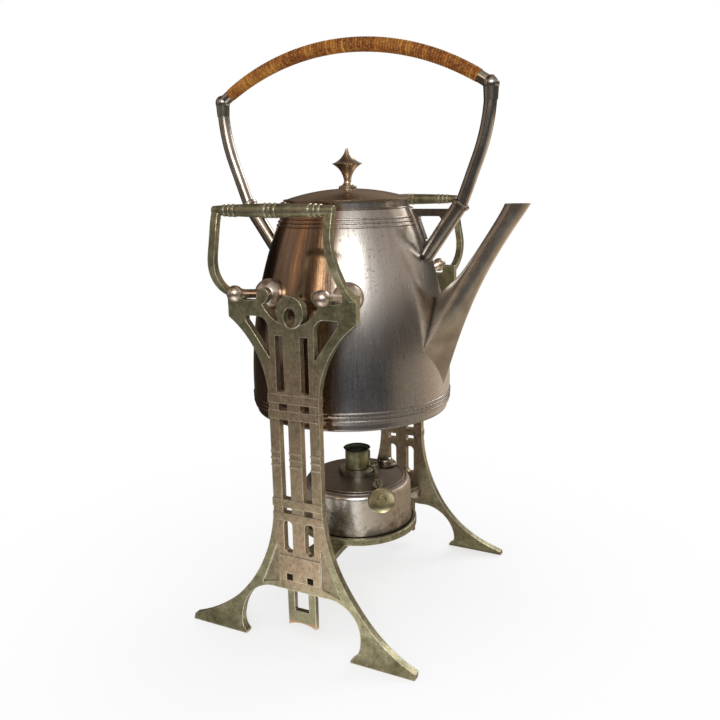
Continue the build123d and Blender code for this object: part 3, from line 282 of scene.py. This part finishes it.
def plated_part(name, tint, rough, brown=0.35):
    """Smooth worn plating with brown stains and bright edges."""
    m = Material(name)
    cloud = m.noise(70.0, detail=5)
    grain = m.noise(420.0, detail=3)
    colour = m.mix(m.mask(cloud, 0.38, 0.66), tint, dimmed(tint, 0.66))
    stain = m.mask(m.noise(38.0, detail=4), 0.46, 0.64)
    colour = m.mix(m.times(stain, brown), colour, (0.36, 0.25, 0.17))
    # painted shade in the corners
    colour = m.mix(m.mask(m.crevice(0.005), 0.8, 0.25), colour, (0.13, 0.11, 0.09))
    colour = m.mix(m.times(m.edges(0.0004), 0.25), colour, (0.80, 0.77, 0.71))
    rough = m.plus(m.times(grain, 0.10), rough)
    normal = m.bump(m.noise(60.0, detail=1), 0.08, 0.0004)
    normal = m.bump(grain, 0.04, 0.0001, normal)
    return m.finish(colour, rough, 1.0, normal)


def patinated():
    """Greenish, dull casting with bright worn edges; its bars and block are a pinkish brown."""
    m = Material("casting_patina")
    x, y, z = m.split(m.object)
    off_x = m.math("ABSOLUTE", x)
    off_y = m.math("ABSOLUTE", y)
    cloud = m.noise(26.0, detail=6, rough=0.62)
    patch = m.noise(120.0, detail=6, rough=0.7)
    fine = m.noise(420.0, detail=4, rough=0.72)
    grain = m.noise(1100.0, detail=2, rough=0.7)
    drawn = m.noise(1.0, detail=5, rough=0.75, vector=m.stretched((420.0, 420.0, 150.0)))

    # the panel of each frame is brown, and green shows round it
    green = m.mix(m.mask(patch, 0.36, 0.64), (0.180, 0.173, 0.093), (0.390, 0.372, 0.230))
    brown = m.mix(m.mask(drawn, 0.36, 0.64), (0.310, 0.215, 0.140), (0.500, 0.365, 0.250))
    panel = m.mask(m.times(off_x, 20.0), 0.46, 0.30)
    upright = m.ramp(m.times(z, 4.0), (0.13, 0.10), (0.155, 1.0), (0.72, 1.0), (0.86, 0.12))
    in_frame = m.math("GREATER_THAN", off_y, FRAME_FACE)
    browned = m.times(m.times(panel, upright), in_frame)
    browned = m.plus(m.times(browned, 0.74), m.past(cloud, 0.5, 1.5), clamp=True)
    colour = m.mix(browned, green, brown)
    top = m.mask(m.times(z, 4.0), 0.76, 0.86)
    colour = m.mix(m.times(top, 0.12), colour, (0.150, 0.150, 0.075))

    # specks, dirt, and the dark ground of the sunk triangles
    colour = m.mix(m.times(m.mask(fine, 0.55, 0.66), 0.40), colour, (0.60, 0.55, 0.40))
    colour = m.mix(m.times(m.mask(fine, 0.45, 0.34), 0.55), colour, (0.090, 0.075, 0.045))
    sunk = m.times(in_frame, m.math("LESS_THAN", off_y, SUNK_FACE))
    sunk = m.times(sunk, m.math("LESS_THAN", z, SUNK_TOP))
    colour = m.mix(m.times(sunk, 0.35), colour, (0.150, 0.105, 0.080))

    # painted shade darkens the tongue low down, with bare copper at its foot
    tongue = m.math("LESS_THAN", off_x, TONGUE_HALF)
    shaded = m.times(tongue, m.ramp(m.times(z, 20.0), (0.60, 0.55), (0.70, 0.0)))
    colour = m.mix(shaded, colour, (0.120, 0.100, 0.060))
    foot = m.times(m.mask(m.times(z, 100.0), 0.10, 1.0), m.mask(m.times(z, 60.0), 0.82, 0.72))
    colour = m.mix(m.times(m.times(foot, tongue), 0.75), colour, (0.42, 0.24, 0.15))

    corner = m.ramp(m.crevice(0.004), (0.2, 0.85), (0.62, 0.0))
    colour = m.mix(corner, colour, (0.055, 0.048, 0.030))
    edge = m.times(m.edges(0.0010), m.ramp(patch, (0.34, 0.55), (0.54, 1.0)))
    colour = m.mix(edge, colour, (0.90, 0.85, 0.68))
    rough = m.plus(m.times(fine, 0.26), 0.20)
    rough = m.less(rough, m.times(edge, 0.10))
    normal = m.bump(patch, 0.22, 0.0004, m.rounded(0.0006))
    normal = m.bump(fine, 0.4, 0.0003, normal)
    normal = m.bump(grain, 0.3, 0.00014, normal)
    return m.finish(colour, rough, 0.8, normal)


def cane():
    """Split cane, wound: each turn has its own shade, with fibres along it."""
    m = Material("cane")
    turn = m.add("ShaderNodeAttribute", attribute_name="turn").outputs["Fac"]
    number = m.math("FLOOR", turn)
    shade = m.add("ShaderNodeTexWhiteNoise", noise_dimensions="3D")
    m.put(shade.inputs["Vector"], m.joined(number))
    shaded = m.ramp(shade.outputs["Value"], (0.0, 0.0), (0.75, 0.45), (1.0, 1.0))
    patch = m.noise(38.0, detail=3)
    fibre = m.noise(700.0, detail=4, rough=0.65)
    deep = m.mix(shaded, (0.140, 0.032, 0.002), (0.330, 0.105, 0.009))
    light = m.mix(shaded, (0.300, 0.092, 0.006), (0.640, 0.310, 0.055))
    colour = m.mix(m.mask(patch, 0.44, 0.58), deep, light)
    colour = m.mix(m.times(m.mask(fibre, 0.48, 0.66), 0.45), colour, (0.66, 0.34, 0.07))
    colour = m.mix(m.times(m.mask(fibre, 0.44, 0.32), 0.45), colour, (0.13, 0.036, 0.006))
    across = m.less(m.times(m.less(turn, number), 2.0), 1.0)
    groove = m.mask(m.times(across, across), 0.45, 1.0)
    colour = m.mix(m.times(groove, 0.85), colour, (0.050, 0.015, 0.004))
    m.shader.inputs["Specular IOR Level"].default_value = 0.25
    rough = m.plus(m.times(fibre, 0.25), 0.36)
    return m.finish(colour, rough, 0.0, m.bump(fibre, 0.4, 0.00025))


def plain_metal(name, light, dark, rough, blotch=40.0, grit=0.15):
    """Bare or dulled metal: two shades in clouds, painted shade in the corners, light edges."""
    m = Material(name)
    cloud = m.noise(blotch, detail=6, rough=0.62)
    fine = m.noise(260.0, detail=4, rough=0.65)
    grain = m.noise(700.0, detail=3)
    colour = m.mix(m.mask(cloud, 0.40, 0.62), light, dark)
    colour = m.mix(m.times(m.mask(fine, 0.55, 0.68), 0.35), colour, dimmed(dark, 0.5))
    # painted shade in the corners
    corner = m.ramp(m.crevice(0.003), (0.2, 0.85), (0.7, 0.0))
    colour = m.mix(corner, colour, dimmed(dark, 0.35))
    bare = tuple(min(1.0, 1.35 * c + 0.12) for c in light)
    colour = m.mix(m.times(m.edges(0.0004), 0.6), colour, bare)
    rough = m.plus(m.times(fine, 0.18), rough)
    return m.finish(colour, rough, 1.0, m.bump(grain, grit, 0.0001, m.rounded(0.0003)))


def spun_drum():
    """The lamp's tin: bright on one side with dark blotches low down, tan on the other."""
    m = Material("lamp_plate")
    angle, height, radius = m.around()
    share = m.plus(angle, 0.5)
    cloud = m.noise(60.0, detail=7, rough=0.68)
    fine = m.noise(300.0, detail=4, rough=0.65)
    rings = m.noise(1.0, detail=2, vector=m.joined(m.times(height, 900.0), m.times(radius, 900.0)))
    tan = m.ramp(
        share,
        (0.0, 0.5),
        (0.22, 0.0),
        (0.33, 0.0),
        (0.42, 0.85),
        (0.60, 1.0),
        (1.0, 0.5),
        ease=True,
    )
    colour = m.mix(m.times(tan, 0.8), (0.86, 0.83, 0.79), (0.44, 0.35, 0.25))

    # blotches, most of them low down and to one side
    low = m.ramp(m.past(height, LAMP_FLOOR, 40.0), (0.0, 0.42), (1.0, 0.0))
    side = m.ramp(
        share,
        (0.0, 0.0),
        (0.16, 0.12),
        (0.250, 0.08),
        (0.290, -0.12),
        (0.5, -0.25),
        (1.0, 0.0),
    )
    blotch = m.mask(m.plus(cloud, m.plus(low, side)), 0.68, 0.80)
    colour = m.mix(m.times(blotch, 0.75), colour, (0.10, 0.085, 0.07))
    colour = m.mix(m.times(m.mask(fine, 0.52, 0.66), 0.3), colour, (0.22, 0.17, 0.13))

    # the top is dark from the flame
    top = m.mask(m.past(height, LAMP_SHOULDER, 200.0), 0.25, 0.75)
    burnt = m.mix(cloud, (0.16, 0.12, 0.095), (0.28, 0.225, 0.185))
    colour = m.mix(m.times(top, 0.82), colour, burnt)
    # painted shade in the corners
    corner = m.ramp(m.crevice(0.004), (0.2, 0.9), (0.8, 0.0))
    colour = m.mix(corner, colour, (0.05, 0.04, 0.03))
    rough = m.plus(m.plus(m.times(fine, 0.16), 0.19), m.times(tan, 0.20))
    rough = m.plus(rough, m.times(top, 0.12))
    normal = m.bump(m.noise(14.0, detail=1), 0.15, 0.001)
    return m.finish(colour, rough, 1.0, m.bump(rings, 0.12, 0.0001, normal))


def sooted_brass():
    """The burner's sleeve: dull greenish brass, black inside and round its flared mouth."""
    m = Material("sooted_brass")
    _, height, radius = m.around()
    cloud = m.noise(150.0, detail=5, rough=0.6)
    fine = m.noise(420.0, detail=4, rough=0.65)
    colour = m.mix(m.mask(cloud, 0.38, 0.64), (0.44, 0.43, 0.27), (0.22, 0.23, 0.13))
    colour = m.mix(m.times(m.mask(fine, 0.52, 0.66), 0.4), colour, (0.10, 0.10, 0.06))
    colour = m.mix(m.times(m.edges(0.0004), 0.5), colour, (0.70, 0.68, 0.50))
    burnt = m.mask(m.past(height, SLEEVE_MOUTH, 400.0), 0.0, 0.8)
    bore = SLEEVE_BORE * 100.0
    inside = m.mask(m.times(radius, 100.0), bore + 0.02, bore - 0.02)
    soot = m.math("MAXIMUM", burnt, inside)
    colour = m.mix(soot, colour, (0.018, 0.015, 0.010))
    rough = m.plus(m.times(fine, 0.2), m.plus(m.times(soot, 0.3), 0.24))
    metal = m.less(1.0, m.times(soot, 0.8))
    return m.finish(colour, rough, metal, m.bump(fine, 0.3, 0.0001, m.rounded(0.0003)))


def cotton():
    """The wick: woven cotton, charred at its top."""
    m = Material("wick_cotton")
    weave = m.add("ShaderNodeTexWave", wave_type="BANDS", bands_direction="DIAGONAL")
    weave.inputs["Scale"].default_value = 900.0
    weave.inputs["Distortion"].default_value = 3.0
    m.put(weave.inputs["Vector"], m.object)
    _, _, height = m.split(m.object)
    char = m.mask(m.past(height, WICK_CHAR, 200.0), 0.0, 1.0)
    colour = m.mix(weave.outputs["Fac"], (0.45, 0.40, 0.32), (0.66, 0.61, 0.52))
    colour = m.mix(char, colour, (0.03, 0.025, 0.02))
    return m.finish(colour, 0.9, 0.0, m.bump(weave.outputs["Fac"], 0.5, 0.0003))


BODY = plated_body()
PART = plated_part("plated_part", (0.56, 0.53, 0.49), 0.16)
SPOUT = plated_part("spout_plate", (0.58, 0.53, 0.46), 0.24, brown=0.4)
CASTING = patinated()
CANE = cane()
LID = plain_metal("lid_bronze", (0.42, 0.31, 0.21), (0.25, 0.18, 0.12), 0.20, blotch=26.0)
FINIAL = plain_metal("finial_plate", (0.70, 0.60, 0.48), (0.42, 0.33, 0.24), 0.20)
BALLS = plain_metal("ball_plate", (0.92, 0.85, 0.77), (0.66, 0.54, 0.45), 0.22, blotch=90.0)
DRUM = spun_drum()
FITTING = plain_metal("lamp_fitting", (0.38, 0.34, 0.29), (0.20, 0.17, 0.14), 0.2, blotch=90.0)
STEEL = plain_metal(
    "burner_steel", (0.40, 0.39, 0.34), (0.15, 0.14, 0.11), 0.24, blotch=110.0, grit=0.25
)
SLEEVE = sooted_brass()
KNOB = plain_metal("knob_brass", (0.46, 0.42, 0.27), (0.30, 0.27, 0.16), 0.22, blotch=120.0)
COTTON = cotton()


def paint(material, *names):
    for name in names:
        node = NODES[name]
        node.data.materials.clear()
        node.data.materials.append(material)


paint(CASTING, "near_side_frame", "far_side_frame", "lamp_bridge", "lamp_tray", "tray_rivets")
paint(BALLS, "bridge_screws", "hinge_pin")
paint(BALLS, "pin_front_near", "pin_front_far", "pin_back_near", "pin_back_far")
paint(BALLS, "boss_front_near", "boss_front_far", "boss_back_near", "boss_back_far")
paint(BODY, "kettle_shell", "kettle_base")
paint(SPOUT, "spout")
paint(PART, "right_bracket", "left_bracket", "right_ferrule", "left_ferrule")
paint(PART, "right_upright", "left_upright", "right_knuckle", "left_knuckle")
paint(PART, "grip_core", "hinge_leaf")
paint(CANE, "cane_wrap")
paint(LID, "lid")
paint(FINIAL, "finial")
paint(DRUM, "lamp_reservoir")
paint(FITTING, "filler_neck", "filler_cap", "spindle_post")
paint(STEEL, "burner", "wick_tube")
paint(SLEEVE, "sleeve")
paint(KNOB, "knob", "spindle")
paint(COTTON, "wick")


# ------------------------------------------------------------------ the wound grip
GRIP_HALF = 94.2 * MM        # the grip's arch, between its knuckles
GRIP_FOOT = 340.4 * MM
GRIP_APEX = 368.6 * MM
WOUND_SHARE = 0.926          # how much of the arch is wound
CANE_PITCH = 1.9 * MM
CANE_DEPTH = 0.30 * MM       # of the groove between two turns
CANE_SWAY = 0.16             # how unevenly the turns lie
WOUND_RADIUS = 4.0 * MM      # over the cane at the ends of the winding
WOUND_SWELL = 0.5 * MM       # and what it gains in the middle
CORE_RADIUS = 3.75 * MM
CUT_RADIUS = 3.72 * MM
STEPS_PER_TURN = 6
SIDES = 22


def wound_grip():
    """Cane wound round the grip's arch, turn by turn, a little thinner towards its ends."""
    rise = GRIP_APEX - GRIP_FOOT
    bow = (GRIP_HALF**2 + rise**2) / (2 * rise)
    centre = GRIP_APEX - bow
    end = math.asin(GRIP_HALF / bow) * WOUND_SHARE
    turns = bow * 2 * end / CANE_PITCH
    steps = int(turns * STEPS_PER_TURN)
    rng = random.Random(11)
    sway = [rng.uniform(-CANE_SWAY, CANE_SWAY) for _ in range(int(turns) + 4)]
    mesh = bmesh.new()
    layer = mesh.verts.layers.float.new("turn")

    def place_vert(lean, radius, side, turn):
        """A point round the arch, at a lean from its top and a side of the winding."""
        round_ = 2 * math.pi * side / SIDES
        out = bow + radius * math.cos(round_)
        vert = mesh.verts.new(
            (
                KETTLE_X + out * math.sin(lean),
                radius * math.sin(round_),
                centre + out * math.cos(lean),
            )
        )
        vert[layer] = turn
        return vert

    rows = []
    for i in range(steps + 1):
        share = i / steps
        lean = -end + 2 * end * share
        crest = WOUND_RADIUS + WOUND_SWELL * math.sin(math.pi * share) ** 0.6
        row = []
        for j in range(SIDES + 1):
            turn = turns * share + j / SIDES + 1
            number = int(turn)
            lift = 1 - abs(2 * (turn - number) - 1) ** 2.6
            depth = CANE_DEPTH * (1 - lift) + 0.05 * MM * (sway[number] + CANE_SWAY)
            row.append(place_vert(lean, max(crest - depth, CORE_RADIUS), j, turn))
        rows.append(row)
    for a, b in zip(rows, rows[1:]):
        for j in range(SIDES):
            mesh.faces.new((a[j], a[j + 1], b[j + 1], b[j])).smooth = True

    # the cut ends turn in to the metal necks
    for row, lean in ((rows[0], -end), (rows[-1], end)):
        ring = [place_vert(lean, CUT_RADIUS, j, row[j][layer]) for j in range(SIDES + 1)]
        for j in range(SIDES):
            face = (ring[j], ring[j + 1], row[j + 1], row[j])
            mesh.faces.new(face if lean < 0 else face[::-1])
    data = bpy.data.meshes.new("cane_winding")
    mesh.to_mesh(data)
    mesh.free()
    piece = bpy.data.objects.new("cane_winding", data)
    bpy.context.scene.collection.objects.link(piece)
    data.materials.append(CANE)
    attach(piece, "kettle")
    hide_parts("cane_wrap")


wound_grip()


# ------------------------------------------------------------------ stage and light
# What the metal mirrors goes round the room in turns, with the camera's side at a half.
CAMERA_SIDE = 0.5 + 62.4 / 360

WALL = (
    (0.00, (0.20, 0.16, 0.13)),
    (0.10, (0.06, 0.045, 0.035)),
    (0.22, (0.11, 0.07, 0.045)),
    (0.262, (0.07, 0.048, 0.034)),
    (0.275, (0.62, 0.36, 0.18)),
    (0.288, (0.075, 0.050, 0.035)),
    (0.340, (0.050, 0.036, 0.028)),
    (0.376, (0.24, 0.16, 0.10)),
    (0.389, (3.2, 2.50, 1.75)),
    (0.402, (0.22, 0.17, 0.13)),
    (0.445, (0.44, 0.40, 0.37)),
    (0.475, (0.94, 0.90, 0.86)),
    (0.56, (0.72, 0.69, 0.66)),
    (0.62, (0.42, 0.38, 0.35)),
    (0.70, (0.34, 0.29, 0.25)),
    (0.78, (0.60, 0.54, 0.47)),
    (0.88, (0.42, 0.36, 0.30)),
    (1.00, (0.20, 0.16, 0.13)),
)
# how bright the room is from straight down to straight up
LEVELS = (
    (0.0, (0.20, 0.18, 0.16)),
    (0.46, (0.07, 0.067, 0.064)),
    (0.575, (0.15, 0.146, 0.142)),
    (0.625, (0.58, 0.57, 0.56)),
    (0.66, (1.0, 1.0, 1.0)),
    (0.72, (0.90, 0.89, 0.87)),
    (0.82, (0.58, 0.56, 0.54)),
    (0.90, (0.42, 0.40, 0.38)),
    (1.0, (0.38, 0.36, 0.34)),
)
# the table that the metal mirrors, close to the object and away from it
NEAR_TABLE = (
    (0.0, (0.16, 0.13, 0.10)),
    (0.22, (0.16, 0.13, 0.10)),
    (0.34, (0.50, 0.46, 0.41)),
    (0.400, (1.5, 1.46, 1.40)),
    (0.445, (1.5, 1.46, 1.40)),
    (0.52, (0.52, 0.46, 0.38)),
    (0.75, (0.42, 0.355, 0.27)),
    (1.0, (0.16, 0.13, 0.10)),
)
FAR_TABLE = (
    (0.0, (0.12, 0.10, 0.08)),
    (0.12, (0.035, 0.025, 0.018)),
    (0.40, (0.075, 0.055, 0.042)),
    (0.47, (0.075, 0.075, 0.08)),
    (0.605, (0.050, 0.050, 0.052)),
    (0.632, (0.28, 0.235, 0.18)),
    (0.72, (0.52, 0.42, 0.31)),
    (0.84, (1.05, 0.86, 0.64)),
    (0.93, (0.62, 0.51, 0.38)),
    (1.0, (0.12, 0.10, 0.08)),
)
FLOOR_HALF = 3.0


def make_stage():
    """A white floor that keeps the object's shadow; in the metal it shows as a dim table."""
    mesh = bpy.data.meshes.new("floor")
    corners = [(x, y, 0) for x, y in ((-1, -1), (1, -1), (1, 1), (-1, 1))]
    mesh.from_pydata([FLOOR_HALF * Vector(c) for c in corners], [], [(0, 1, 2, 3)])
    floor = bpy.data.objects.new("floor", mesh)
    bpy.context.scene.collection.objects.link(floor)
    m = Material("floor")
    m.finish(m.mix(m.noise(3.0, detail=2), (0.95, 0.95, 0.95), (0.97, 0.97, 0.97)), 0.9, 0.0)
    angle, _, radius = m.around()
    white = m.add("ShaderNodeEmission")
    fade = m.ramp(radius, (0.08, 0.62), (0.34, 1.0), ease=True)
    seen = m.choose(fade, m.shader.outputs[0], white.outputs[0])
    share = m.math("FRACT", m.plus(angle, CAMERA_SIDE))
    away = m.ramp(radius, (0.30, 0.0), (0.46, 1.0), ease=True)
    table = m.add("ShaderNodeEmission")
    m.put(table.inputs[0], m.mix(away, m.ramp(share, *NEAR_TABLE), m.ramp(share, *FAR_TABLE)))
    ray = m.add("ShaderNodeLightPath")
    m.put(m.output, m.choose(ray.outputs["Is Glossy Ray"], seen, table.outputs[0]))
    floor.data.materials.append(m.material)


def make_world():
    """White to the camera; the metal mirrors a dim warm room with a window behind the camera."""
    world = bpy.data.worlds.new("studio")
    bpy.context.scene.world = world
    world.use_nodes = True
    w = Nodes(world.node_tree)

    def background(colour, strength):
        node = w.add("ShaderNodeBackground")
        w.put(node.inputs[0], colour)
        w.put(node.inputs[1], strength)
        return node.outputs[0]

    x, y, z = w.split(w.add("ShaderNodeTexCoord").outputs["Generated"])
    wall = w.ramp(w.math("FRACT", w.plus(w.turns(x, y), CAMERA_SIDE)), *WALL)
    level = w.ramp(w.plus(w.times(z, 0.5), 0.5), *LEVELS)
    room = background(w.mix(1.0, wall, level, kind="MULTIPLY"), 1.6)
    soft = background((0.97, 0.97, 1.0), 0.8)
    white = background((1.0, 1.0, 1.0), 1.0)
    ray = w.add("ShaderNodeLightPath")
    lit = w.choose(ray.outputs["Is Glossy Ray"], soft, room)
    out = w.add("ShaderNodeOutputWorld")
    w.put(out.inputs[0], w.choose(ray.outputs["Is Camera Ray"], lit, white))


def area_light(name, place, aim, width, power, colour=(1, 1, 1), height=None):
    data = bpy.data.lights.new(name, "AREA")
    data.energy = power
    data.color = colour
    data.size = width
    if height:
        data.shape = "RECTANGLE"
        data.size_y = height
    lamp = bpy.data.objects.new(name, data)
    bpy.context.scene.collection.objects.link(lamp)
    lamp.location = place
    lamp.rotation_euler = (Vector(aim) - Vector(place)).to_track_quat("-Z", "Y").to_euler()


# ------------------------------------------------------------------ camera
CAMERA_PLACE = Vector((0.23773, -0.46070, 0.28754))
CAMERA_ANGLES = (26.916, 13.095, -1.160)  # azimuth, pitch down and roll, in degrees
FOCAL_LENGTH = 781.3 / 720                # as a share of the picture's width
SENSOR = 36                               # mm


def make_camera():
    azimuth, pitch, roll = (math.radians(a) for a in CAMERA_ANGLES)
    forward = Vector(
        (
            -math.sin(azimuth) * math.cos(pitch),
            math.cos(azimuth) * math.cos(pitch),
            -math.sin(pitch),
        )
    )
    right = Vector((math.cos(azimuth), math.sin(azimuth), 0))
    up = right.cross(forward)
    across = math.cos(roll) * right + math.sin(roll) * up
    over = -math.sin(roll) * right + math.cos(roll) * up
    data = bpy.data.cameras.new("camera")
    data.sensor_width = SENSOR
    data.lens = FOCAL_LENGTH * SENSOR
    data.clip_start = 0.01
    camera = bpy.data.objects.new("camera", data)
    bpy.context.scene.collection.objects.link(camera)
    turned = Matrix((across, over, -forward)).transposed().to_4x4()
    camera.matrix_world = Matrix.Translation(CAMERA_PLACE) @ turned
    bpy.context.scene.camera = camera


make_stage()
make_world()
make_camera()
area_light("key", (0.47, -0.98, 0.76), (0, 0, 0.18), 0.62, 3.8, (1.0, 0.98, 0.95), height=0.36)
area_light("fill", (-0.9, -0.5, 0.6), (0, 0, 0.18), 1.2, 0.9, (1.0, 0.90, 0.80))
area_light("rim", (0.3, 0.9, 0.8), (0, 0, 0.2), 0.5, 3.0)
bpy.context.scene.view_settings.view_transform = "Standard"
